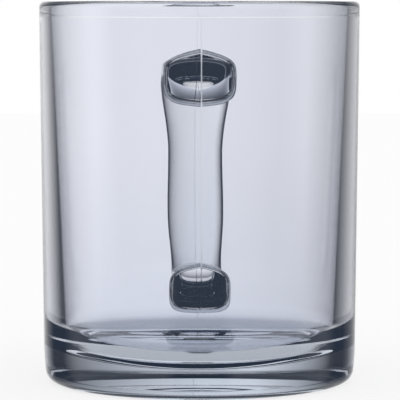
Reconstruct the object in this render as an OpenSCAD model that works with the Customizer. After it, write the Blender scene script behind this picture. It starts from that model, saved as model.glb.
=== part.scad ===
// Clear glass mug: a pressed body with a thick base, and a solid strap handle
// that is pressed apart from it and joined hot on two pads.
// The resting plane is z = 0, the mug's axis is Z, and the handle points to +Y.

/* [Body] */
// Height from the table to the top of the lip
mug_h = 95; // [80:0.5:120]
// Outer diameter at the lip
rim_d = 80; // [74:0.5:92]
// Outer diameter where the wall meets the heel
base_d = 78.2; // [72:0.1:92]
// Wall thickness under the lip
rim_wall = 2.8; // [2:0.1:4]
// Wall thickness where the wall meets the inner corner
low_wall = 5.1; // [3:0.1:7]
// Height of the drinking floor in its middle, above the table
floor_h = 4.8; // [4:0.1:10]
// Radius of the shallow dish that the drinking floor forms
floor_dish_r = 115; // [80:1:400]
// Radius of the inner corner between wall and floor
inner_corner_r = 8.8; // [4:0.1:12]
// Radius of the outer corner at the heel
heel_r = 3; // [1.5:0.1:4]
// Height below which the outer wall draws in a little
toe_h = 9; // [8:0.5:12]
// How far the wall draws in from there to the heel
toe_in = 0.3; // [0:0.05:0.5]
// Width of the flat ring that the mug stands on
foot_ring_w = 2.2; // [1.5:0.1:4]
// Height of the hollow in the middle of the underside
punt_h = 2.3; // [0.6:0.1:3]
// Distance of the neck ring line below the top of the lip
neck_drop = 3.5; // [2.5:0.1:6]

/* [Handle] */
// Distance from the wall to the outside of the strap's upright bar
handle_reach = 33; // [28:0.5:42]
// Distance of the middle of the upper pad below the top of the lip
upper_pad_drop = 21.6; // [19:0.1:26]
// Height of the middle of the lower pad
lower_pad_z = 17; // [14:0.1:26]
// How far the pads stand to one side of the wall's seam
pad_offset = 0.6; // [0:0.1:2]
// How far each pad spreads beyond its arm
pad_flare = 1.3; // [0.6:0.1:2]
// Width of the upper arm at the wall
upper_arm_w = 18; // [13:0.1:20]
// Thickness of the upper arm at the wall
upper_arm_t = 12.7; // [9:0.1:14]
// How far the upper arm climbs on its way to its bend
upper_climb = 1.5; // [0:0.1:2]
// Thickness of the strap where its upper bend begins
upper_bend_t = 7; // [6:0.1:10]
// Width of the lower arm at the wall
lower_arm_w = 15.4; // [12:0.1:19]
// Thickness of the lower arm at the wall
lower_arm_t = 12; // [8:0.1:14]
// Width of the strap at its upper bend
upper_bend_w = 21.5; // [16:0.1:24]
// Width of the strap at its waist, under the upper bend
waist_w = 16.9; // [13:0.1:20]
// Width of the strap where it swells again above the lower bend
swell_w = 17.7; // [13:0.1:20]
// Width of the strap at its lower bend
lower_bend_w = 15.9; // [12:0.1:20]
// Width of the lower arm halfway between bend and wall
lower_mid_w = 17; // [12:0.1:20]
// Thickness of the upright bar, measured away from the mug
bar_t = 7.5; // [6:0.1:10]
// Radius of the outside of the upper bend
upper_bend_r = 19; // [15:0.5:20]
// Radius of the outside of the lower bend
lower_bend_r = 15; // [12:0.5:20]
// How much nearer to the mug the bar is at its lower end
bar_lean = 1.5; // [0:0.5:4]
// How far the bar bows to the other side between its pads
bar_sway = 1.1; // [0:0.1:2]

/* [Mould lines] */
// How far a seam stands proud of the glass
seam_h = 0.05; // [0.04:0.01:0.3]
// Width of a seam
seam_w = 0.3; // [0.3:0.05:1]

/* [Hidden] */

$fn = 180;
glass_tint = [0.82, 0.86, 0.92, 0.45];

rim_r = rim_d / 2;
base_r = base_d / 2;
lip_r = rim_wall / 2;
// The outer wall opens upwards by this angle, the toe by more, and the inner wall by its own
outer_rise = (rim_r - base_r) / (mug_h - lip_r - heel_r);
outer_taper = atan(outer_rise);
toe_taper = atan(outer_rise + 2 * toe_in / (toe_h - heel_r));
// The corner's arc lies inside the dish's circle and touches it at dish_angle from the axis
inner_low_r = base_r - low_wall;
corner_u = inner_low_r - inner_corner_r;
dish_z = floor_h + floor_dish_r;
dish_angle = asin(corner_u / (floor_dish_r - inner_corner_r));
corner_z = dish_z - (floor_dish_r - inner_corner_r) * cos(dish_angle);
corner_from = dish_angle - 90;
inner_taper = atan((rim_r - rim_wall - inner_low_r) / (mug_h - lip_r - corner_z));
// The heel's arc runs into the wall where both have the toe's slope
heel_top_z = heel_r * (1 - sin(toe_taper));
foot_r = wall_r(heel_top_z) - heel_r * cos(toe_taper);
punt_r = foot_r - foot_ring_w;
// A cutter runs past the surface that it opens by this much
overrun = rim_wall;
corner_steps = 10;
dish_steps = 8;
toe_steps = 6;
punt_steps = 12;

// Outer radius of the wall at height z: a straight taper, less a parabola below toe_h
function wall_r(z) = let (below = max(0, (toe_h - z) / (toe_h - heel_r)))
    base_r + outer_rise * (z - heel_r) - toe_in * below * below;

// Points on an arc about c, from angle a0 to angle a1
function arc(c, r, a0, a1, steps) =
    [for (i = [0:steps]) let (a = a0 + (a1 - a0) * i / steps) [c.x + r * cos(a), c.y + r * sin(a)]];

// Half of the outer outline, grown sideways by proud
function outer_outline(proud) = concat(
    [[0, 0]],
    arc([foot_r + proud, heel_r], heel_r, -90, -toe_taper, corner_steps),
    [for (i = [1:toe_steps]) let (z = heel_top_z + (toe_h - heel_top_z) * i / toe_steps)
        [wall_r(z) + proud, z]],
    [[wall_r(neck_z - seam_w) + proud, neck_z - seam_w]],
    [[wall_r(neck_z) + max(proud, seam_h), neck_z]],
    [[wall_r(neck_z + seam_w) + proud, neck_z + seam_w]],
    arc([rim_r - lip_r, mug_h - lip_r], lip_r, -outer_taper, 90, corner_steps),
    [[0, mug_h]]
);
neck_z = mug_h - neck_drop;

// Half of the hollow inside the mug, from the drinking floor past the lip
function cavity_outline() = concat(
    arc([0, dish_z], floor_dish_r, -90, corner_from, dish_steps),
    [for (i = [1:corner_steps]) let (a = corner_from + (-inner_taper - corner_from) * i / corner_steps)
        [corner_u, corner_z] + inner_corner_r * [cos(a), sin(a)]],
    arc([rim_r - lip_r, mug_h - lip_r], lip_r, 180 - inner_taper, 90, corner_steps),
    [[rim_r - lip_r, mug_h + overrun], [0, mug_h + overrun]]
);

// Half of the shallow hollow under the base: an arc that rises to punt_h on the axis
punt_arc_r = (punt_r * punt_r + punt_h * punt_h) / (2 * punt_h);
punt_half_angle = asin(punt_r / punt_arc_r);
function punt_outline() = concat(
    [[0, -overrun], [punt_r, -overrun]],
    arc([0, punt_h - punt_arc_r], punt_arc_r, 90 - punt_half_angle, 90, punt_steps)
);

// The mug's outer form, solid through, with the two upright seams of its mould
module outer_form() {
    rotate_extrude() polygon(outer_outline(0));
    intersection() {
        rotate_extrude() polygon(outer_outline(seam_h));
        translate([-seam_w / 2, -rim_d, 0]) cube([seam_w, 2 * rim_d, neck_z]);
    }
}

module mug_body() {
    color(glass_tint) difference() {
        outer_form();
        rotate_extrude() polygon(cavity_outline());
        rotate_extrude() polygon(punt_outline());
    }
}

// The handle's middle line, in [distance from axis, height]
upper_pad_z = mug_h - upper_pad_drop;
pad_embed = low_wall / 2;
bar_top_u = wall_r(upper_pad_z) + handle_reach - bar_t / 2;
upper_wall = [wall_r(upper_pad_z), upper_pad_z];
lower_wall = [wall_r(lower_pad_z), lower_pad_z];
// Each bend's middle line lies half the strap inside its outer radius
upper_mid_r = upper_bend_r - bar_t / 2;
lower_mid_r = lower_bend_r - bar_t / 2;
lean_angle = atan(bar_lean / (upper_pad_z - lower_pad_z));
// The upper arm climbs straight from its pad to touch the bend's circle
upper_centre = [bar_top_u - upper_mid_r, upper_pad_z + upper_climb - upper_mid_r];
to_centre = upper_centre - upper_wall;
climb_angle = atan2(to_centre.y, to_centre.x) + asin(upper_mid_r / norm(to_centre));
upper_turn = 90 + climb_angle + lean_angle;
lower_turn = 90 - lean_angle;
bar_side = [cos(lean_angle), -sin(lean_angle)];
upper_in = upper_centre + upper_mid_r * [-sin(climb_angle), cos(climb_angle)];
upper_out = upper_centre + upper_mid_r * bar_side;
// The bar's line runs on from there and touches the lower bend's circle
lower_centre_z = lower_pad_z + lower_mid_r;
bar_u_there = upper_out.x - (upper_out.y - lower_centre_z) * tan(lean_angle);
lower_out = [bar_u_there - lower_mid_r / cos(lean_angle), lower_pad_z];
lower_in = [lower_out.x, lower_centre_z] + lower_mid_r * bar_side;

// Distances along the middle line from the wall at the upper pad
run_upper_in = norm(upper_in - upper_wall);
run_upper_out = run_upper_in + upper_mid_r * PI * upper_turn / 180;
run_lower_in = run_upper_out + norm(lower_in - upper_out);
run_lower_out = run_lower_in + lower_mid_r * PI * lower_turn / 180;
run_end = run_lower_out + lower_out.x - lower_wall.x;

// The rings start inside the wall, crowd where the pad rounds into its arm, and
// then stand evenly along the arm
fillet_share = [0, 0.04, 0.14, 0.32, 0.6, 1];
arm_rings = 6;
bend_rings = 11;
bar_rings = 13;
function arm_runs(len) = concat(
    [-pad_embed],
    pad_flare * fillet_share,
    [for (i = [1:arm_rings]) pad_flare + (len - pad_flare) * i / arm_rings]
);

// Rings as [position, direction of travel, distance along the middle line]
upper_arm = [for (d = arm_runs(run_upper_in))
    [upper_wall + d * [cos(climb_angle), sin(climb_angle)], climb_angle * ease(0, run_upper_in, d), d]];
lower_runs = arm_runs(run_end - run_lower_out);
lower_arm = [for (i = [len(lower_runs) - 1:-1:0]) let (d = lower_runs[i])
    [lower_wall + [d, 0], -180, run_end - d]];

// Rings round a bend that turns clockwise from direction a0 by turn, without its two ends
function bend(p0, a0, turn, r, run0) =
    [for (i = [1:bend_rings - 1]) let (
        a = turn * i / bend_rings,
        centre = p0 + r * [sin(a0), -cos(a0)])
        [centre + r * [-sin(a0 - a), cos(a0 - a)], a0 - a, run0 + r * PI * a / 180]];

// The bar travels straight down, turned by its lean
down_angle = -90 - lean_angle;
bar_len = run_lower_in - run_upper_out;
bar = [for (i = [0:bar_rings]) let (k = i / bar_rings)
    [upper_out + (lower_in - upper_out) * k, down_angle, run_upper_out + bar_len * k]];

rings = concat(
    upper_arm,
    bend(upper_in, climb_angle, upper_turn, upper_mid_r, run_upper_in),
    bar,
    bend(lower_in, down_angle, lower_turn, lower_mid_r, run_lower_in),
    lower_arm
);

// Smooth step from 0 to 1 as x goes from a to b
function ease(a, b, x) = let (k = min(1, max(0, (x - a) / (b - a)))) k * k * (3 - 2 * k);

// Value at x of a smooth curve through [place, value] stations, level at each of them
function through(stations, x) = accumulate(concat(
    [stations[0][1]],
    [for (i = [1:len(stations) - 1]) (stations[i][1] - stations[i - 1][1])
        * ease(stations[i - 1][0], stations[i][0], x)]));
function accumulate(v, i = 0) = i < len(v) - 1 ? v[i] + accumulate(v, i + 1) : v[i];

// The waist and the swell stand at these shares of the straight bar, counted from above
waist_share = 0.25;
swell_share = 0.8;
width_stations = [
    [0, upper_arm_w],
    [(run_upper_in + run_upper_out) / 2, upper_bend_w],
    [run_upper_out + waist_share * bar_len, waist_w],
    [run_upper_out + swell_share * bar_len, swell_w],
    [(run_lower_in + run_lower_out) / 2, lower_bend_w],
    [(run_lower_out + run_end) / 2, lower_mid_w],
    [run_end, lower_arm_w]
];
thickness_stations = [
    [0, upper_arm_t],
    [run_upper_in, upper_bend_t],
    [run_upper_out, bar_t],
    [run_lower_in, bar_t],
    [run_end, lower_arm_t]
];

// Distance from the nearer pad, and how far a round fillet has spread the arm there
function skin(run) = min(run, run_end - run);
function flare(run) = let (s = min(1, max(0, skin(run) / pad_flare)))
    pad_flare * (1 - sqrt(1 - (1 - s) * (1 - s)));

// Sideways place of the middle line: on the pads' side at both ends and bowed between them
function strap_shift(run) = let (s = 2 * run / run_end - 1)
    pad_offset - bar_sway * (1 - min(1, s * s));

// Near the wall the rings curve round it. The curve is gone this share of an arm away
curl_share = 0.6;
function wall_drop(x, run) = let (r = base_r)
    (r - sqrt(r * r - x * x)) * (1 - ease(0, curl_share * run_upper_in, skin(run)));

strap_square = 3.2;
pad_square = 4;
function squareness(run) = pad_square + (strap_square - pad_square) * ease(0, run_upper_in, skin(run));

// One quarter of a rounded oblong, by the superellipse |x/a|^n + |y/b|^n = 1,
// leaving out both of its end points
quarter_steps = 8;
function oblong(a, b, n, i) = let (t = 90 * i / quarter_steps)
    [a * pow(cos(t), 2 / n), b * pow(sin(t), 2 / n)];

// Each face slopes from its seam to its edges like a low gable. These shares of half the
// thickness are lost there on the outer and the inner face
gable_shares = [
    [0, [0.3, 0.12]],
    [run_upper_out, [0.06, 0.06]],
    [run_lower_in, [0.06, 0.06]],
    [run_end, [0.06, 0.25]]
];

// Half of a face from the right edge to the left, with its seam ridge in the middle
function face(a, b, n, gable) = let (
    q = [for (i = [1:quarter_steps - 1]) oblong(a, b, n, i)],
    foot = b * (1 - gable * seam_w / 2 / a),
    sloped = [for (p = q) [p.x, p.y * (1 - gable * p.x / a)]])
    concat(
        sloped,
        [[seam_w / 2, foot], [0, b + seam_h], [-seam_w / 2, foot]],
        [for (i = [len(q) - 1:-1:0]) [-sloped[i].x, sloped[i].y]]
    );

// A ring's outline as [across, outwards]
function ring_outline(w, t, n, gables) = let (a = w / 2, b = t / 2)
    concat(
        [[a, 0]],
        face(a, b, n, gables[0]),
        [[-a, 0]],
        [for (p = face(a, b, n, gables[1])) [-p.x, -p.y]]
    );

// Place a ring's outline square to the path: its outward side is on the left of the travel
function place_ring(ring) = let (
    u = ring[0].x,
    z = ring[0].y,
    a = ring[1],
    run = ring[2],
    spread = 2 * flare(run),
    outline = ring_outline(through(width_stations, run) + spread,
        through(thickness_stations, run) + spread, squareness(run), through(gable_shares, run)))
    [for (p = outline) let (x = strap_shift(run) - p.x)
        [x, u - p.y * sin(a) - wall_drop(x, run), z + p.y * cos(a)]];

// A closed skin over rings that all have the same number of points
module loft(sections) {
    m = len(sections[0]);
    last = len(sections) - 1;
    points = [for (s = sections) each s];
    sides = [for (j = [0:last - 1], i = [0:m - 1]) let (
            a = j * m + i,
            b = j * m + (i + 1) % m)
        each [[a, b, b + m], [a, b + m, a + m]]];
    start_cap = [for (i = [1:m - 2]) [0, i + 1, i]];
    end_cap = [for (i = [1:m - 2]) [last * m, last * m + i, last * m + i + 1]];
    polyhedron(points, concat(sides, start_cap, end_cap));
}

// The handle ends flush on the outer wall, which it is fused to
module handle() {
    color(glass_tint) difference() {
        loft([for (ring = rings) place_ring(ring)]);
        outer_form();
    }
}

mug_body();
handle();
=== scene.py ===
import math

import bpy
import numpy as np
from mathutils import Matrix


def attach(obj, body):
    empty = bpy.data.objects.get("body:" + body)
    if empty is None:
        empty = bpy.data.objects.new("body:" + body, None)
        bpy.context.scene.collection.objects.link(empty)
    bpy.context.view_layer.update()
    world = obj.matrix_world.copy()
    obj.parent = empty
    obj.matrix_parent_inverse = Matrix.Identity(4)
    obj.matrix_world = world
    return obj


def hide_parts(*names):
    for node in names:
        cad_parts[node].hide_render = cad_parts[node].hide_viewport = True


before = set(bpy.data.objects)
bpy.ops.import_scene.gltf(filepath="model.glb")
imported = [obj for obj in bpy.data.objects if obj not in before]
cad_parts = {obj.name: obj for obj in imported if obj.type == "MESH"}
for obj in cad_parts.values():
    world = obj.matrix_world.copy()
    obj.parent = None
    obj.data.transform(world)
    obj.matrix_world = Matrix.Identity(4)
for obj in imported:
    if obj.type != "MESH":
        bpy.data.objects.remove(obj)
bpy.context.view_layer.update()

mm = 0.001
hair = 1e-6    # two lengths closer than this are the same
white = (1, 1, 1, 1)
print("frame loaded:", sorted(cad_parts))


# Camera: the photograph's own viewpoint, worked out for a square picture
photoView = {
    "pictureSide": 400,      # pixels
    "focalPixels": 2665,
    "filmWidth": 36,         # mm
    "distance": 667.3,       # mm from the mug's axis
    "height": 97.1,          # mm above the table
    "pitch": 4.446,          # degrees down
    "azimuth": -0.7,         # degrees round the mug
    "aimPixels": 0.57,       # how far the axis stands left of the picture's middle
    "clip": (0.01, 50),      # m
}


def makeCamera(v):
    data = bpy.data.cameras.new("photoCamera")
    data.sensor_width = v["filmWidth"]
    data.lens = v["filmWidth"] * v["focalPixels"] / v["pictureSide"]
    data.clip_start = v["clip"][0]
    data.clip_end = v["clip"][1]
    cam = bpy.data.objects.new("photoCamera", data)
    bpy.context.collection.objects.link(cam)
    turn = math.radians(v["azimuth"])
    away = v["distance"] * mm
    cam.location = (away * math.sin(turn), -away * math.cos(turn), v["height"] * mm)
    down = math.pi / 2 - math.radians(v["pitch"])
    cam.rotation_euler = (down, 0, turn - v["aimPixels"] / v["focalPixels"])
    bpy.context.scene.camera = cam


makeCamera(photoView)
print("camera made")


# Shader maths written as Python: a socket with operators, and one way to add any node
class Sock:
    def __init__(self, tree, out):
        self.tree = tree
        self.out = out

    def maths(self, operation, a, b=None):
        node = self.tree.nodes.new("ShaderNodeMath")
        node.operation = operation
        for socket, value in zip(node.inputs, (a, b)):
            plug(self.tree, socket, value)
        return Sock(self.tree, node.outputs[0])

    def __sub__(self, other):
        return self.maths("SUBTRACT", self, other)

    def __rsub__(self, other):
        return self.maths("SUBTRACT", other, self)

    def __mul__(self, other):
        return self.maths("MULTIPLY", self, other)

    def __rmul__(self, other):
        return self.maths("MULTIPLY", other, self)

    def low(self, other):
        return self.maths("MINIMUM", self, other)

    def high(self, other):
        return self.maths("MAXIMUM", self, other)

    def above(self, other):
        return self.maths("GREATER_THAN", self, other)

    def size(self):
        return self.maths("ABSOLUTE", self)

    def bearing(self, other):
        return self.maths("ARCTAN2", self, other)


def plug(tree, socket, value):
    if value is None:
        return
    if isinstance(value, Sock):
        tree.links.new(value.out, socket)
    else:
        socket.default_value = value


class Shader:
    def __init__(self, tree):
        tree.nodes.clear()
        self.tree = tree

    # Sockets go by name, with _ for a space, or by number after a leading _
    def add(self, kind, settings=None, out=0, **values):
        node = self.tree.nodes.new("ShaderNode" + kind)
        for key, value in (settings or {}).items():
            setattr(node, key, value)
        for key, value in values.items():
            name = key.replace("_", " ")
            socket = node.inputs[name] if name in node.inputs else node.inputs[int(key[1:])]
            plug(self.tree, socket, value)
        return Sock(self.tree, node.outputs[out])

    # Number that goes from toLow to toHigh while value goes from low to high
    def fall(self, value, low, high, toLow=0.0, toHigh=1.0, kind="SMOOTHSTEP"):
        return self.add("MapRange", {"interpolation_type": kind}, Value=value,
                        From_Min=low, From_Max=high, To_Min=toLow, To_Max=toHigh)

    # Colour a where share is 0 and b where it is 1
    def blend(self, share, a, b):
        return self.add("Mix", {"data_type": "RGBA"}, out=2, _0=share, _6=a, _7=b)

    def mixed(self, share, a, b):
        return self.add("MixShader", _0=share, _1=a, _2=b)

    def light(self, name):
        return self.add("LightPath", out=name)

    def finish(self, kind="Material", **shaders):
        node = self.tree.nodes.new("ShaderNodeOutput" + kind)
        for key, value in shaders.items():
            plug(self.tree, node.inputs[key], value)


# Glass: cool clear soda-lime, deeper in colour where it is thicker, low in the wall, and darkest in
# the base, where that is partly the glass's own colour and partly painted shade of the table under
# the mug.
# It lets part of the light on to the table
clearGlass = {
    "ior": 1.52,
    "tint": (0.917, 0.931, 0.977, 1),
    "lowTint": (0.85, 0.87, 0.935, 1),
    "lowBand": (0.015, 0.06),        # m above the table over which the low wall's tint ends
    # Colour of the base: partly the glass's own, partly painted shade of the table under the mug
    "baseTintAndShade": (0.57, 0.63, 0.73, 1),
    "baseBand": (0.005, 0.014),
    "shadowTint": (0.9, 0.92, 0.95, 1),
    "lostAfter": 3.5,                # reflections inside the glass until it shows the painted dim room
    # Painted dim room: a dark colour that the glass emits in place of the light of rays trapped
    # inside
    "paintedRoomColour": (0.02, 0.03, 0.05, 1),
    "waveScale": 60.0,               # faint waves of pressed glass, per m
    "waveDetail": 2.0,
    "waveStrength": 0.02,
    "waveDepth": 0.0004,             # m
}


# The handle's glass is the same, but with a painted glow on the outside of its long bar in place of
# the light that the bar guides into the upper pad, and painted shade on its fillets by the wall
handleGlass = dict(
    clearGlass,
    tint=(0.965, 0.975, 0.99, 1),
    lowTint=(0.955, 0.965, 0.985, 1),
    baseTintAndShade=(0.955, 0.965, 0.985, 1),
    # Painted shade on the fillets where the handle joins the wall: a dark colour in place of the
    # shade there
    filletPaintedShade=(0.25, 0.28, 0.33, 1),
    filletShadeBand=(0.0396, 0.0412),     # m from the axis over which the fillet's painted shade ends
    lostAfter=1.5,
    # The handle's painted dim room, shown after fewer reflections
    paintedRoomColour=(0.03, 0.04, 0.055, 1),
    # Painted glow: a colour the bar's outside emits in place of the light it guides into the upper
    # pad
    paintedGlowColour=(0.62, 0.64, 0.72, 1),
    glowFace=(0.066, 0.069),         # m from the axis: the outside of the bar
    glowLow=(0.048, 0.052),          # m above the table
    glowHigh=(0.053, 0.068),
    glowTopShare=0.1,
    glowRun=(0.012, 0.028),          # m that the ray ran inside the glass: dimmer when it is short
    glowShortShare=0.12,
    glowEnd=0.033,                   # no glow after a longer run
)


# How strongly the painted glow on the bar's outside shows: the product of the fades towards the
# axis, downwards, upwards and with a short run, and nothing after a long run
def paintedBarGlow(s, g, far, up):
    run = s.light("Ray Length")
    glow = s.fall(far, *g["glowFace"]) * s.fall(up, *g["glowLow"])
    glow = glow * s.fall(up, *g["glowHigh"], 1.0, g["glowTopShare"], "LINEAR")
    glow = glow * s.fall(run, *g["glowRun"], g["glowShortShare"], 1.0, "LINEAR")
    return glow * (1 - run.above(g["glowEnd"]))


# Glass by the kind of ray: tinted by height, with painted shade in the base and, on the handle,
# painted shade by the wall, by distance from the axis; after too many reflections inside it emits a
# painted dim room and, on the handle's bar, a painted glow; and a plain tint for the shadow
def glassMaterial(name, g):
    made = bpy.data.materials.new(name)
    made.use_nodes = True
    s = Shader(made.node_tree)
    place = s.add("TexCoord", out="Object")
    far = s.add("SeparateXYZ", out="Y", Vector=place)
    up = s.add("SeparateXYZ", out="Z", Vector=place)
    wave = s.add("TexNoise", Vector=place, Scale=g["waveScale"], Detail=g["waveDetail"])
    bump = s.add("Bump", Height=wave, Strength=g["waveStrength"], Distance=g["waveDepth"])
    tint = s.blend(s.fall(up, *g["lowBand"], kind="LINEAR"), g["lowTint"], g["tint"])
    # Painted shade of the table under the mug, darkening the glass low in the base
    tint = s.blend(s.fall(up, *g["baseBand"]), g["baseTintAndShade"], tint)
    paintedRoomColour = g["paintedRoomColour"]
    # Painted shade on the handle's fillets by the wall
    if "filletPaintedShade" in g:
        tint = s.blend(s.fall(far, *g["filletShadeBand"]), g["filletPaintedShade"], tint)
    # The handle's painted glow on the bar, blended into its painted dim room
    if "paintedGlowColour" in g:
        paintedRoomColour = s.blend(paintedBarGlow(s, g, far, up), paintedRoomColour, g["paintedGlowColour"])
    glass = s.add("BsdfPrincipled", Base_Color=tint, Roughness=0.0, IOR=g["ior"],
                  Transmission_Weight=1.0, Normal=bump)
    # Painted dim room: black glass that emits the painted room colour, though it is no lamp
    lost = s.add("BsdfPrincipled", Base_Color=(0, 0, 0, 1), Roughness=0.0, IOR=1.0,
                 Transmission_Weight=1.0, Emission_Color=paintedRoomColour, Emission_Strength=1.0)
    glass = s.mixed(s.light("Glossy Depth").above(g["lostAfter"]), glass, lost)
    through = s.add("BsdfTransparent", Color=g["shadowTint"])
    s.finish(Surface=s.mixed(s.light("Is Shadow Ray"), glass, through))
    return made


# The weld between the two pieces: fused glass has no surface there, so light goes straight on
def weldMaterial(name):
    made = bpy.data.materials.new(name)
    made.use_nodes = True
    s = Shader(made.node_tree)
    s.finish(Surface=s.add("BsdfTransparent", Color=white))
    return made


# Shapes. Every length in the tables below is in millimetres


# Points on an arc: the centre plus the radius times (cos, sin) of evenly spaced angles
def arc(x, z, r, fromDeg, toDeg, count):
    a = np.radians(np.linspace(fromDeg, toDeg, count))
    return np.stack([x + r * np.cos(a), z + r * np.sin(a)], axis=1)


# Ridge profile: one minus the square of x over the half width, squared, and zero outside it
def ridge(x, halfWidth):
    return np.clip(1 - (x / halfWidth) ** 2, 0, 1) ** 2


# Step from 0 to 1 that starts and ends level: three x squared less two x cubed
def eased(x):
    x = np.clip(x, 0, 1)
    return x * x * (3 - 2 * x)


# Point at a radius, height and angle: angle 0 is the handle's side, +Y, and it grows towards -X
def turned(r, angle, z):
    return np.stack([-r * np.sin(angle), r * np.cos(angle), z + 0 * angle], axis=-1)


# Rounded oblong in direction a: the superellipse (|cos a| / half width)^n
# + (|sin a| / half height)^n = 1, solved for the radius, with each face drawn in
# towards its edges by its own gable share
def oblong(a, halfW, halfH, n, outerGable, innerGable):
    r = (np.abs(np.cos(a) / halfW) ** n + np.abs(np.sin(a) / halfH) ** n) ** (-1 / n)
    gable = np.where(np.sin(a) > 0, outerGable, innerGable)
    return r * np.cos(a), r * np.sin(a) * (1 - gable * np.abs(r * np.cos(a)) / halfW)


# Curve through stations that never overshoots: cubic Hermite pieces whose slopes are
# the harmonic mean of the neighbouring chords, and level where the chords turn back
def smoothThrough(at, keys, values):
    h = np.diff(keys)
    d = np.diff(values, axis=0) / h[:, None]
    both = d[:-1] * d[1:]
    inner = np.where(both > 0, 2 * both / np.where(both > 0, d[:-1] + d[1:], 1), 0)
    slope = np.concatenate([d[:1], inner, d[-1:]])
    i = np.clip(np.searchsorted(keys, at, side="right") - 1, 0, len(h) - 1)
    t = ((at - keys[i]) / h[i])[:, None]
    w = h[i][:, None]
    return ((2 * t**3 - 3 * t**2 + 1) * values[i] + (t**3 - 2 * t**2 + t) * w * slope[i]
            + (3 * t**2 - 2 * t**3) * values[i + 1] + (t**3 - t**2) * w * slope[i + 1])


# Corners of a sheet's four-sided faces: each point of the index grid with its neighbour in the
# row, and the two above them
def sheetFaces(index, wrap):
    right = np.roll(index, -1, axis=1) if wrap else index[:, 1:]
    left = index if wrap else index[:, :-1]
    return np.stack([left[:-1], right[:-1], right[1:], left[1:]], axis=-1)


# Corners of the triangles between a closed loop and one point in its middle
def fan(loop, centre):
    return np.stack([loop, np.roll(loop, -1), np.full(len(loop), centre)], axis=-1)


# Mesh object from points in mm and from parts, each an array of face corners with its
# material slot. Slot 0 is shaded smooth
def addMesh(name, points, parts, materials):
    mesh = bpy.data.meshes.new(name)
    faces = [f.reshape(-1, f.shape[-1]) for f, slot in parts]
    slots = np.repeat([slot for f, slot in parts], [len(f) for f in faces])
    corners = [face for f in faces for face in f.tolist()]
    mesh.from_pydata((points * mm).tolist(), [], corners)
    mesh.polygons.foreach_set("material_index", slots.astype(np.int32))
    mesh.polygons.foreach_set("use_smooth", slots == 0)
    for material in materials:
        mesh.materials.append(material)
    mesh.update()
    piece = bpy.data.objects.new(name, mesh)
    bpy.context.collection.objects.link(piece)
    print(name, len(mesh.polygons), "faces")
    return piece


# The mug's own glass: wall, lip, base and foot ring
mug = {
    "height": 95.0,
    "mouthRadius": 40.0,
    "baseRadius": 39.1,
    "rimWall": 2.8,
    "lowWall": 5.1,
    "floorHeight": 4.8,        # middle of the floor above the table
    "floorRadius": 115.0,      # radius of the dished floor
    "innerCornerRadius": 8.8,
    "heelRadius": 3.0,
    "toeHeight": 9.0,          # below this the wall draws in a little
    "toeIn": 0.3,
    "footRingWidth": 2.2,
    "puntHeight": 2.3,         # hollow under the base
    "neckDrop": 3.5,           # neck ring line, below the top of the lip
    "neckProud": 0.05,
    "neckHalfWidth": 0.3,
    "seamProud": 0.05,         # mould seams
    "seamHalfWidth": 0.15,
    "seamFoot": (30.0, 48.0),  # heights between which the front seam grows from a share
    "seamFootShare": 0.3,      # of its height to the whole
}
# Points along each stretch of the half outline
outlinePlan = {
    "under": 20,
    "footRing": 5,
    "heel": 20,
    "lip": 25,
    "inside": 60,
    "corner": 24,
    "floor": 40,
}
# Rows up the wall: the usual step, and how many in a pad's window and across the neck line
rowPlan = {"step": 1.2, "window": 38, "neck": 8}
# Columns round the mug, as lengths along the wall from the handle's seam: fine at the two
# seams and at the strap's own seam, medium behind the pads, coarse elsewhere
columnPlan = {
    "seamHalf": 0.3,
    "strapSeam": -1.2,
    "padHalf": 13.0,
    "fineStep": 0.05,
    "padStep": 0.5,
    "coarseStep": 1.2,
}


# Outer radius of the wall: a straight taper from the heel up to the lip, less a parabola
# that draws it in below the toe's height
def wallRadius(z):
    m = mug
    share = (z - m["heelRadius"]) / (m["height"] - m["rimWall"] / 2 - m["heelRadius"])
    below = np.clip((m["toeHeight"] - z) / (m["toeHeight"] - m["heelRadius"]), 0, None)
    return m["baseRadius"] + (m["mouthRadius"] - m["baseRadius"]) * share - m["toeIn"] * below**2


# How proud the wall's outside stands at an angle and height: the larger of the mould seams'
# ridge, which fades out at the heel and the neck and on the front low down, and the neck line's
def wallProud(angle, z):
    m = mug
    arcLength = m["mouthRadius"] * np.minimum(np.abs(angle), np.pi - np.abs(angle))
    seamTop = m["height"] - m["neckDrop"]
    fade = np.clip((seamTop - z) / m["seamHalfWidth"], 0, 1) * np.clip(z / m["heelRadius"], 0, 1)
    low, high = m["seamFoot"]
    grown = m["seamFootShare"] + (1 - m["seamFootShare"]) * eased((z - low) / (high - low))
    fade = np.where(np.abs(angle) > np.pi / 2, fade * grown, fade)
    seam = m["seamProud"] * ridge(arcLength, m["seamHalfWidth"]) * fade
    return np.maximum(seam, m["neckProud"] * ridge(z - seamTop, m["neckHalfWidth"]))


# A point (across, up) of the flat picture of the wall, put back on its outside: the angle is
# the arc sine of the distance across over the radius
def wrapOnWall(x, z):
    angle = np.arcsin(x / wallRadius(z))
    return turned(wallRadius(z) + wallProud(angle, z), angle, z)


# Angles of the columns: each stretch of the plan in even steps, over the mouth's radius
def columnAngles(p):
    half = math.pi * mug["mouthRadius"]
    stops = [-half + p["seamHalf"], -p["padHalf"], p["strapSeam"], p["seamHalf"], p["padHalf"],
             half - p["seamHalf"], half + p["seamHalf"]]
    kinds = ("coarseStep", "padStep", "fineStep", "padStep", "coarseStep", "fineStep")
    parts = []
    for a, b, kind in zip(stops[:-1], stops[1:], kinds):
        parts.append(np.linspace(a, b, round((b - a) / p[kind]) + 1)[:-1])
    return np.concatenate(parts) / mug["mouthRadius"]


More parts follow.
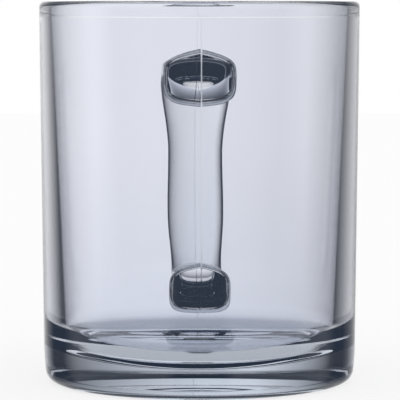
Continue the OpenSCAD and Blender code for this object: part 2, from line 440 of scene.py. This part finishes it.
# Slope of the wall at the top of the heel: the arc tangent of the taper and the parabola's slope
def toeAngle():
    m = mug
    wallHeight = m["height"] - m["rimWall"] / 2 - m["heelRadius"]
    taper = (m["mouthRadius"] - m["baseRadius"]) / wallHeight
    return math.atan(taper + 2 * m["toeIn"] / (m["toeHeight"] - m["heelRadius"]))


# Height where the heel's arc meets the wall: its radius times one less the sine of that slope
def heelTop():
    return mug["heelRadius"] * (1 - math.sin(toeAngle()))


# Heights of the wall's rows: even steps between the stops, finer in the windows and the neck line
def wallRows(windows):
    m = mug
    top = m["height"] - m["rimWall"] / 2
    neck = m["height"] - m["neckDrop"]
    stops = [heelTop()]
    for low, high in windows:
        stops += [low, high]
    stops += [neck - m["neckHalfWidth"], neck + m["neckHalfWidth"], top]
    parts = []
    for i, (a, b) in enumerate(zip(stops[:-1], stops[1:])):
        count = max(2, round((b - a) / rowPlan["step"]))
        if any(abs(a - low) < hair for low, high in windows):
            count = rowPlan["window"]
        elif i == len(stops) - 3:
            count = rowPlan["neck"]
        parts.append(np.linspace(a, b, count + 1)[:-1])
    return np.concatenate(parts + [[top]])


# The mug's half outline from the middle of the underside, up the outside and down the inside:
# arcs that meet straight lines without a corner. Also the number of the wall's first point
def mugOutline(rows):
    m = mug
    n = outlinePlan
    lip = m["rimWall"] / 2
    lipZ = m["height"] - lip
    foot = wallRadius(heelTop()) - m["heelRadius"] * math.cos(toeAngle())
    punt = foot - m["footRingWidth"]
    bow = (punt**2 + m["puntHeight"] ** 2) / (2 * m["puntHeight"])
    half = math.degrees(math.asin(punt / bow))
    under = arc(0, m["puntHeight"] - bow, bow, 90, 90 - half, n["under"])[1:]
    footRing = np.linspace((punt, 0), (foot, 0), n["footRing"])[1:-1]
    outTaper = math.degrees(math.atan2(m["mouthRadius"] - m["baseRadius"], lipZ - m["heelRadius"]))
    toe = math.degrees(toeAngle())
    heel = arc(foot, m["heelRadius"], m["heelRadius"], -90, -toe, n["heel"])[:-1]
    wall = np.stack([wallRadius(rows), rows], axis=1)
    lowR = m["baseRadius"] - m["lowWall"]
    dishZ = m["floorHeight"] + m["floorRadius"]
    inside = m["floorRadius"] - m["innerCornerRadius"]
    cornerR = lowR - m["innerCornerRadius"]
    cornerZ = dishZ - math.sqrt(inside**2 - cornerR**2)
    meet = math.degrees(math.asin(cornerR / inside))
    inTaper = math.degrees(math.atan2(m["mouthRadius"] - m["rimWall"] - lowR, lipZ - cornerZ))
    lipArc = arc(m["mouthRadius"] - lip, lipZ, lip, -outTaper, 180 - inTaper, n["lip"])[1:]
    corner = arc(cornerR, cornerZ, m["innerCornerRadius"], -inTaper, meet - 90, n["corner"])
    inner = np.linspace(lipArc[-1], corner[0], n["inside"])[1:-1]
    floor = arc(0, dishZ, m["floorRadius"], meet - 90, -90, n["floor"])[1:-1]
    first = len(under) + len(footRing) + len(heel)
    return np.concatenate([under, footRing, heel, wall, lipArc, inner, corner, floor]), first


# The handle: a solid strap with a pad at each end
strap = {
    "reach": 32.99,           # from the wall to the outside of the bar
    "upperDrop": 21.6,        # middle of the upper pad below the top of the lip
    "lowerHeight": 17.0,      # middle of the lower pad above the table
    "padOffset": 0.6,         # how far the pads stand to one side of the wall's seam
    "padFlare": 1.3,          # how far each pad spreads beyond its arm
    "climb": 1.5,             # how far the upper arm rises on its way to the bend
    "upperBendRadius": 19.0,
    "lowerBendRadius": 15.0,
    "upperBendThickness": 7.0,
    "barThickness": 7.5,
    "lean": 1.5,              # how much nearer to the mug the bar is at its lower end
    "sway": 1.1,              # how far the bar bows to the other side between the pads
    "upperArm": (18.0, 12.7),      # width and thickness at the wall
    "lowerArm": (15.4, 12.0),
    "upperBendWidth": 21.5,
    "waistWidth": 16.9,
    "swellWidth": 17.7,
    "lowerBendWidth": 15.9,
    "lowerMidWidth": 17.0,
    "waistShare": 0.25,       # places of the waist and the swell down the straight bar
    "swellShare": 0.8,
    "barSquareness": 3.2,
    "padSquareness": 4.0,
    "upperGables": (0.3, 0.12),    # share of the half thickness lost from seam to edge,
    "lowerGables": (0.06, 0.25),   # on the strap's outer and inner face, at each pad
    "barGables": (0.06, 0.06),
    "seamFrom": 0.5,          # the strap's seam lies where the outline's sine is beyond this
    "curlShare": 0.6,         # share of an arm over which its rings curl round the wall
    "weldGap": 0.02,          # slit that keeps the two welded surfaces apart in the picture
}
strap["upperZ"] = mug["height"] - strap["upperDrop"]
strap["lowerZ"] = strap["lowerHeight"]
# Rings along the strap: round each fillet, and along an arm, a bend and the bar
ringPlan = {"fillet": 12, "arm": 36, "bend": 60, "bar": 60, "pathSteps": 200}
# Each pad sits in a window of the wall's grid, which is meshed by rings: from the window's
# border to the pad's outline, crowded towards the outline, and on to its middle
windowPlan = {"margin": 2.4, "rings": 10, "crowding": 1.3, "innerRings": 6}


# Where a pad stands: middle (across, up), half size, gables, and which way its outline turns
def padSpot(z, arm, gables, sign):
    half = np.array(arm) / 2 + strap["padFlare"]
    return {"middle": (-strap["padOffset"], z), "half": half, "gables": gables, "sign": sign}


padSpots = [
    padSpot(strap["upperZ"], strap["upperArm"], strap["upperGables"], 1),
    padSpot(strap["lowerZ"], strap["lowerArm"], strap["lowerGables"], -1),
]


# Border of a pad's window as a loop of column and row numbers that starts on the right and runs
# round as the pad's own outline does, with each point's direction from the middle of the pad
# and its place across
def windowLoop(pad, left, right, low, high, angles, rows):
    col = np.concatenate([
        np.full(high - low, right), np.arange(right, left, -1),
        np.full(high - low, left), np.arange(left, right)])
    row = np.concatenate([
        np.arange(low, high), np.full(right - left, high),
        np.arange(high, low, -1), np.full(right - left, low)])
    x = wallRadius(rows[row]) * np.sin(angles[col])
    rise = pad["sign"] * (rows[row] - pad["middle"][1])
    turn = np.arctan2(rise, x - pad["middle"][0])
    loop = (col, row, turn, x)
    if pad["sign"] < 0:
        loop = [v[::-1] for v in loop]
    start = np.argmin(np.abs(loop[2]))
    col, row, turn, x = [np.roll(v, -start) for v in loop]
    return col, row, np.unwrap(turn), x


# Points in a pad's window, ring by ring and the middle last: shares of the way from the
# border to the outline along straight spokes of the flat picture, then of the way to the middle
def windowPoints(pad, up, turn, x):
    p = windowPlan
    middleX, middleZ = pad["middle"]
    edgeX, edgeY = oblong(turn, *pad["half"], strap["padSquareness"], *pad["gables"])
    farX = x - middleX
    farY = pad["sign"] * (up - middleZ)
    outside = np.linspace(1, 0, p["rings"] + 1)[1:, None] ** p["crowding"]
    inside = np.linspace(1, 0, p["innerRings"] + 1)[1:-1, None]
    across = np.concatenate([edgeX + (farX - edgeX) * outside, edgeX * inside])
    rise = np.concatenate([edgeY + (farY - edgeY) * outside, edgeY * inside])
    rings = wrapOnWall(middleX + across, middleZ + pad["sign"] * rise)
    tip = wrapOnWall(np.array([middleX]), np.array([middleZ]))
    return np.concatenate([rings.reshape(-1, 3), tip])


# The half outline turned round the axis, with the wall's ridges on its outside, the two
# windows cut out of the grid and filled with rings, and the two poles closed
def buildMug(materials):
    angles = columnAngles(columnPlan)
    spans = []
    for pad in padSpots:
        reach = pad["half"][1] + windowPlan["margin"]
        spans.append((pad["middle"][1] - reach, pad["middle"][1] + reach))
    rows = wallRows(sorted(spans))
    outline, first = mugOutline(rows)
    isWall = np.zeros(len(outline), dtype=bool)
    isWall[first:first + len(rows)] = True
    a, z = np.meshgrid(angles, outline[:, 1])
    r = outline[:, :1] + np.where(isWall[:, None], wallProud(a, z), 0)
    grid = turned(r, a, z)
    index = np.arange(grid.size // 3).reshape(grid.shape[:2])
    quads = sheetFaces(index, True)
    keep = np.ones(quads.shape[:2], dtype=bool)
    points = [grid.reshape(-1, 3)]
    parts = []
    turns = []
    count = index.size
    wide = columnPlan["padHalf"] / mug["mouthRadius"] + hair
    left = int(np.argmax(angles >= -wide))
    right = int(len(angles) - 1 - np.argmax(angles[::-1] <= wide))
    for pad, span in zip(padSpots, spans):
        low, high = [int(np.argmin(np.abs(rows - height))) for height in span]
        keep[first + low:first + high, left:right] = False
        col, row, turn, x = windowLoop(pad, left, right, low, high, angles, rows)
        new = windowPoints(pad, rows[row], turn, x)
        points.append(new)
        rings = count + np.arange(len(new) - 1).reshape(-1, len(col))
        rings = np.concatenate([index[first + row, col][None], rings])
        count += len(new)
        around = sheetFaces(rings, True)
        tip = fan(rings[-1], count - 1)
        if pad["sign"] < 0:
            around = around[..., ::-1]
            tip = tip[..., ::-1]
        outside = windowPlan["rings"]
        parts += [(around[:outside], 0), (around[outside:], 1), (tip, 1)]
        turns.append(turn)
    points.append(np.array([[0, 0, mug["puntHeight"]], [0, 0, mug["floorHeight"]]]))
    parts += [(quads[keep], 0), (fan(index[0][::-1], count), 0), (fan(index[-1], count + 1), 0)]
    return addMesh("mugGlass", np.concatenate(points), parts, materials), turns


# The strap's middle line as (distance from the axis, height) at close steps: an arm, a bend,
# the bar, a bend and an arm, lines tangent to arcs. Also the run along it, the direction of
# travel, and the runs at which one stretch ends and the next begins
def strapPath(s):
    steps = ringPlan["pathSteps"]
    lean = math.degrees(math.atan2(s["lean"], s["upperZ"] - s["lowerZ"]))
    leanAngle = math.radians(lean)
    barU = wallRadius(s["upperZ"]) + s["reach"] - s["barThickness"] / 2
    upR = s["upperBendRadius"] - s["barThickness"] / 2
    lowR = s["lowerBendRadius"] - s["barThickness"] / 2
    start = (wallRadius(s["upperZ"]), s["upperZ"])
    centre = (barU - upR, s["upperZ"] + s["climb"] - upR)
    away = math.atan2(centre[1] - start[1], centre[0] - start[0])
    rise = math.degrees(away + math.asin(upR / math.dist(start, centre)))
    upBend = arc(*centre, upR, 90 + rise, -lean, steps)
    lowZ = s["lowerZ"] + lowR
    lowU = upBend[-1][0] - (upBend[-1][1] - lowZ) * math.tan(leanAngle) - lowR / math.cos(leanAngle)
    lowBend = arc(lowU, lowZ, lowR, -lean, -90, steps)
    end = (wallRadius(s["lowerZ"]), s["lowerZ"])
    middle = np.concatenate([
        np.linspace(start, upBend[0], steps)[:-1], upBend,
        np.linspace(upBend[-1], lowBend[0], steps)[1:-1], lowBend,
        np.linspace(lowBend[-1], end, steps)[1:]])
    run = np.concatenate([[0], np.cumsum(np.hypot(*np.diff(middle, axis=0).T))])
    heading = np.radians(np.concatenate([
        rise * eased(np.linspace(0, 1, steps)[:-1]),
        np.linspace(rise, -90 - lean, steps),
        np.full(steps - 2, -90 - lean),
        np.linspace(-90 - lean, -180, steps),
        np.full(steps - 1, -180)]))
    marks = run[[0, steps - 1, 2 * steps - 2, 3 * steps - 3, 4 * steps - 4, -1]]
    return middle, run, heading, marks


# Runs of the rings: the flare times one less the cosine of even turns round each fillet,
# and even steps between
def ringRuns(marks):
    p = ringPlan
    flare = strap["padFlare"]
    turn = np.linspace(0, math.pi / 2, p["fillet"] + 1)[:-1]
    fillet = flare * (1 - np.cos(turn))
    stops = [flare, *marks[1:5], marks[5] - flare]
    counts = [p[k] for k in ("arm", "bend", "bar", "bend", "arm")]
    parts = [fillet]
    for a, b, count in zip(stops[:-1], stops[1:], counts):
        parts.append(np.linspace(a, b, count + 1)[:-1])
    return np.concatenate(parts + [(marks[5] - fillet)[::-1]])


# Width, thickness and the two gables at each ring: smooth curves through the stations' values,
# from the upper pad by way of the bends' middles, the waist and the swell to the lower pad
def strapSizes(s, at, marks):
    barLength = marks[3] - marks[2]
    places = np.array([
        0, (marks[1] + marks[2]) / 2, marks[2] + s["waistShare"] * barLength,
        marks[2] + s["swellShare"] * barLength, (marks[3] + marks[4]) / 2,
        (marks[4] + marks[5]) / 2, marks[5]])
    widths = np.array([
        s["upperArm"][0], s["upperBendWidth"], s["waistWidth"], s["swellWidth"],
        s["lowerBendWidth"], s["lowerMidWidth"], s["lowerArm"][0]])
    thick = np.array([
        s["upperArm"][1], s["upperBendThickness"], s["barThickness"], s["barThickness"],
        s["lowerArm"][1]])
    gables = np.array([s["upperGables"], s["barGables"], s["barGables"], s["lowerGables"]])
    w = smoothThrough(at, places, widths[:, None])
    t = smoothThrough(at, marks[[0, 1, 2, 3, 5]], thick[:, None])
    outer, inner = [smoothThrough(at, marks[[0, 2, 3, 5]], g[:, None]) for g in gables.T]
    return w, t, outer, inner


# Cap of an end: the last ring drawn in to the pad's middle by even shares and laid on the wall
def padCap(pad, x, z):
    share = np.linspace(1, 0, windowPlan["innerRings"] + 1)[1:-1, None]
    middleX, middleZ = pad["middle"]
    across = middleX + (x - middleX) * share
    up = middleZ + (z - middleZ) * share
    cap = wrapOnWall(np.append(across.ravel(), middleX), np.append(up.ravel(), middleZ))
    cap[:, 1] += strap["weldGap"]
    return cap


# Each ring is an oblong square to the middle line. Near the wall it flares by a quarter circle
# and its points curl round the wall, so that both ends lie on the wall's outside
def buildHandle(materials, turns):
    s = strap
    f = s["padFlare"]
    middle, run, heading, marks = strapPath(s)
    at = ringRuns(marks)
    u, z, a = [np.interp(at, run, v)[:, None] for v in (middle[:, 0], middle[:, 1], heading)]
    w, t, outer, inner = strapSizes(s, at, marks)
    skin = np.minimum(at, marks[5] - at)[:, None]    # run from the nearer pad
    atPad = np.clip(1 - skin / f, 0, 1)
    spread = f * (1 - np.sqrt(1 - atPad**2))
    n = s["padSquareness"] + (s["barSquareness"] - s["padSquareness"]) * eased(skin / marks[1])
    share = 2 * at[:, None] / marks[5] - 1
    shift = -(s["padOffset"] - s["sway"] * (1 - share**2))
    turn = turns[0] + (turns[1] - turns[0]) * at[:, None] / marks[5]
    x, v = oblong(turn, w / 2 + spread, t / 2 + spread, n, outer, inner)
    seam = mug["seamProud"] * ridge(x, mug["seamHalfWidth"]) * np.clip(skin / f, 0, 1)
    v = v + np.sign(v) * seam * (np.abs(np.sin(turn)) > s["seamFrom"])
    x = x + shift
    curl = 1 - eased(skin / (s["curlShare"] * marks[1]))
    pz = z + v * np.cos(a)
    r = wallRadius(pz)
    drop = (r - np.sqrt(r * r - x * x)) * curl
    slope = (r - wallRadius(z)) * curl
    lift = wallProud(np.arcsin(x / r), pz) * curl * atPad
    pu = u - v * np.sin(a) - drop + slope + lift + s["weldGap"] * atPad
    grid = np.stack([-x, pu, pz], axis=-1)
    index = np.arange(grid.size // 3).reshape(grid.shape[:2])
    points = [grid.reshape(-1, 3)]
    parts = [(sheetFaces(index, True), 0)]
    count = index.size
    for edge, pad in zip((0, -1), padSpots):
        cap = padCap(pad, x[edge], pz[edge])
        rings = count + np.arange(len(cap) - 1).reshape(-1, index.shape[1])
        rings = np.concatenate([index[edge][None], rings])
        count += len(cap)
        faces = sheetFaces(rings, True)
        tip = fan(rings[-1], count - 1)
        if edge == 0:
            faces = faces[..., ::-1]
            tip = tip[..., ::-1]
        points.append(cap)
        parts += [(faces, 1), (tip, 1)]
    return addMesh("handleGlass", np.concatenate(points), parts, materials)


mugMaterial = glassMaterial("clearGlass", clearGlass)
handleMaterial = glassMaterial("handleGlass", handleGlass)
weld = weldMaterial("weld")
mugPiece, padTurns = buildMug([mugMaterial, weld])
handlePiece = buildHandle([handleMaterial, weld], padTurns)
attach(mugPiece, "root")
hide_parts("mug_body")
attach(handlePiece, "root")
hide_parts("handle")


# The studio: a white table and a world that is white to the camera. The glass sees, by direction,
# a white backdrop behind the mug, paler walls to the sides, a pale table, a lamp overhead and a
# dim bluish room in front. Bands are in degrees
studio = {
    "tableRadius": 1500.0,           # mm
    "tableDrop": 0.1,
    "tableSides": 96,
    "tableColour": (0.9, 0.9, 0.9, 1),
    "tableGlow": 0.8,                # how far the camera sees the table as plain white
    "backLeft": (13, 44),            # off the middle: the backdrop fades to dark on the left
    "backRight": (0, 50),            # and on the right
    "backFoot": (-46, -26),          # elevation over which the backdrop's sweep begins
    "backTop": (10, 27),             # and over which it ends
    "sideBand": (60, 80),            # off the middle: the side walls begin
    "sideLevel": 0.6,
    "sideFoot": (-13, -9),           # elevation over which the side walls meet the table
    "tableLevel": 0.64,              # the table as the glass sees it
    "tableBand": (-28, -12),
    "lampFoot": (20, 26),            # elevation of the lamp overhead, behind the mug
    "lampTop": (56, 62),
    "lampSide": (14, 22),
    "lampLevel": 0.9,
    "frontBand": (0.12, 0.35),       # how squarely a direction points to the front where it is dark
    "frontSide": (152, 164),         # off the middle: dark down to the table too
    "frontColour": (0.045, 0.06, 0.086, 1),
    "darkColour": (0.055, 0.06, 0.075, 1),     # everything that no lamp reaches
}


# A flat disc, one fan of triangles round its middle: white to the camera and with the mug's
# shadow on it, and clear to rays from the glass, which see the world's own table
def makeTable(t):
    a = np.linspace(0, 2 * np.pi, t["tableSides"] + 1)[:-1]
    rim = np.stack([np.cos(a), np.sin(a), 0 * a], axis=1) * t["tableRadius"]
    points = np.concatenate([rim, [[0, 0, 0]]]) - (0, 0, t["tableDrop"])
    made = bpy.data.materials.new("table")
    made.use_nodes = True
    s = Shader(made.node_tree)
    lit = s.add("BsdfDiffuse", Color=t["tableColour"])
    glow = s.add("Emission", Color=white, Strength=1.0)
    clear = s.add("BsdfTransparent", Color=white)
    seen = s.mixed(s.light("Is Camera Ray") * t["tableGlow"], lit, glow)
    fromGlass = s.light("Is Glossy Ray").high(s.light("Is Transmission Ray"))
    s.finish(Surface=s.mixed(fromGlass, seen, clear))
    corners = fan(np.arange(t["tableSides"]), t["tableSides"])
    table = addMesh("table", points, [(corners, 0)], [made])


# The world by direction: the angle off +Y is the arc tangent of x over y, and z is the sine
# of the elevation. Patches are products of fades and join by the larger of two
def makeWorld(w):
    world = bpy.data.worlds.new("studio")
    bpy.context.scene.world = world
    world.use_nodes = True
    s = Shader(world.node_tree)
    way = s.add("TexCoord", out="Generated")
    x, y, z = [s.add("SeparateXYZ", out=axis, Vector=way) for axis in "XYZ"]
    turn = x.bearing(y)
    side = turn.size()

    def across(value, band, *ends):
        return s.fall(value, *[math.radians(d) for d in w[band]], *ends)

    def upward(band, *ends):
        return s.fall(z, *[math.sin(math.radians(d)) for d in w[band]], *ends)

    left = across(-1 * turn, "backLeft", 1.0, 0.0, "LINEAR")
    right = across(turn, "backRight", 1.0, 0.0, "LINEAR")
    beside = across(side, "sideBand")
    foot = upward("sideFoot")
    back = left.low(right).high(beside * w["sideLevel"])
    back = back * upward("backFoot") * upward("backTop", 1.0, 0.0)
    table = upward("tableBand", 1.0, 0.0).high(beside * (1 - foot)) * w["tableLevel"]
    lamp = upward("lampFoot") * upward("lampTop", w["lampLevel"], 0.0)
    lamp = lamp * across(side, "lampSide", 1.0, 0.0)
    front = s.fall(-1 * y, *w["frontBand"]) * foot.high(across(side, "frontSide"))
    darkness = s.blend(front, w["darkColour"], w["frontColour"])
    dark = s.add("Background", Color=darkness, Strength=1.0)
    plain = s.add("Background", Color=white, Strength=1.0)
    bent = s.mixed(back.high(table).high(lamp) * (1 - front), dark, plain)
    direct = s.light("Is Camera Ray").high(s.light("Is Diffuse Ray"))
    s.finish("World", Surface=s.mixed(direct, bent, plain))


makeTable(studio)
makeWorld(studio)
bpy.context.scene.view_settings.view_transform = "Standard"
print("studio made")
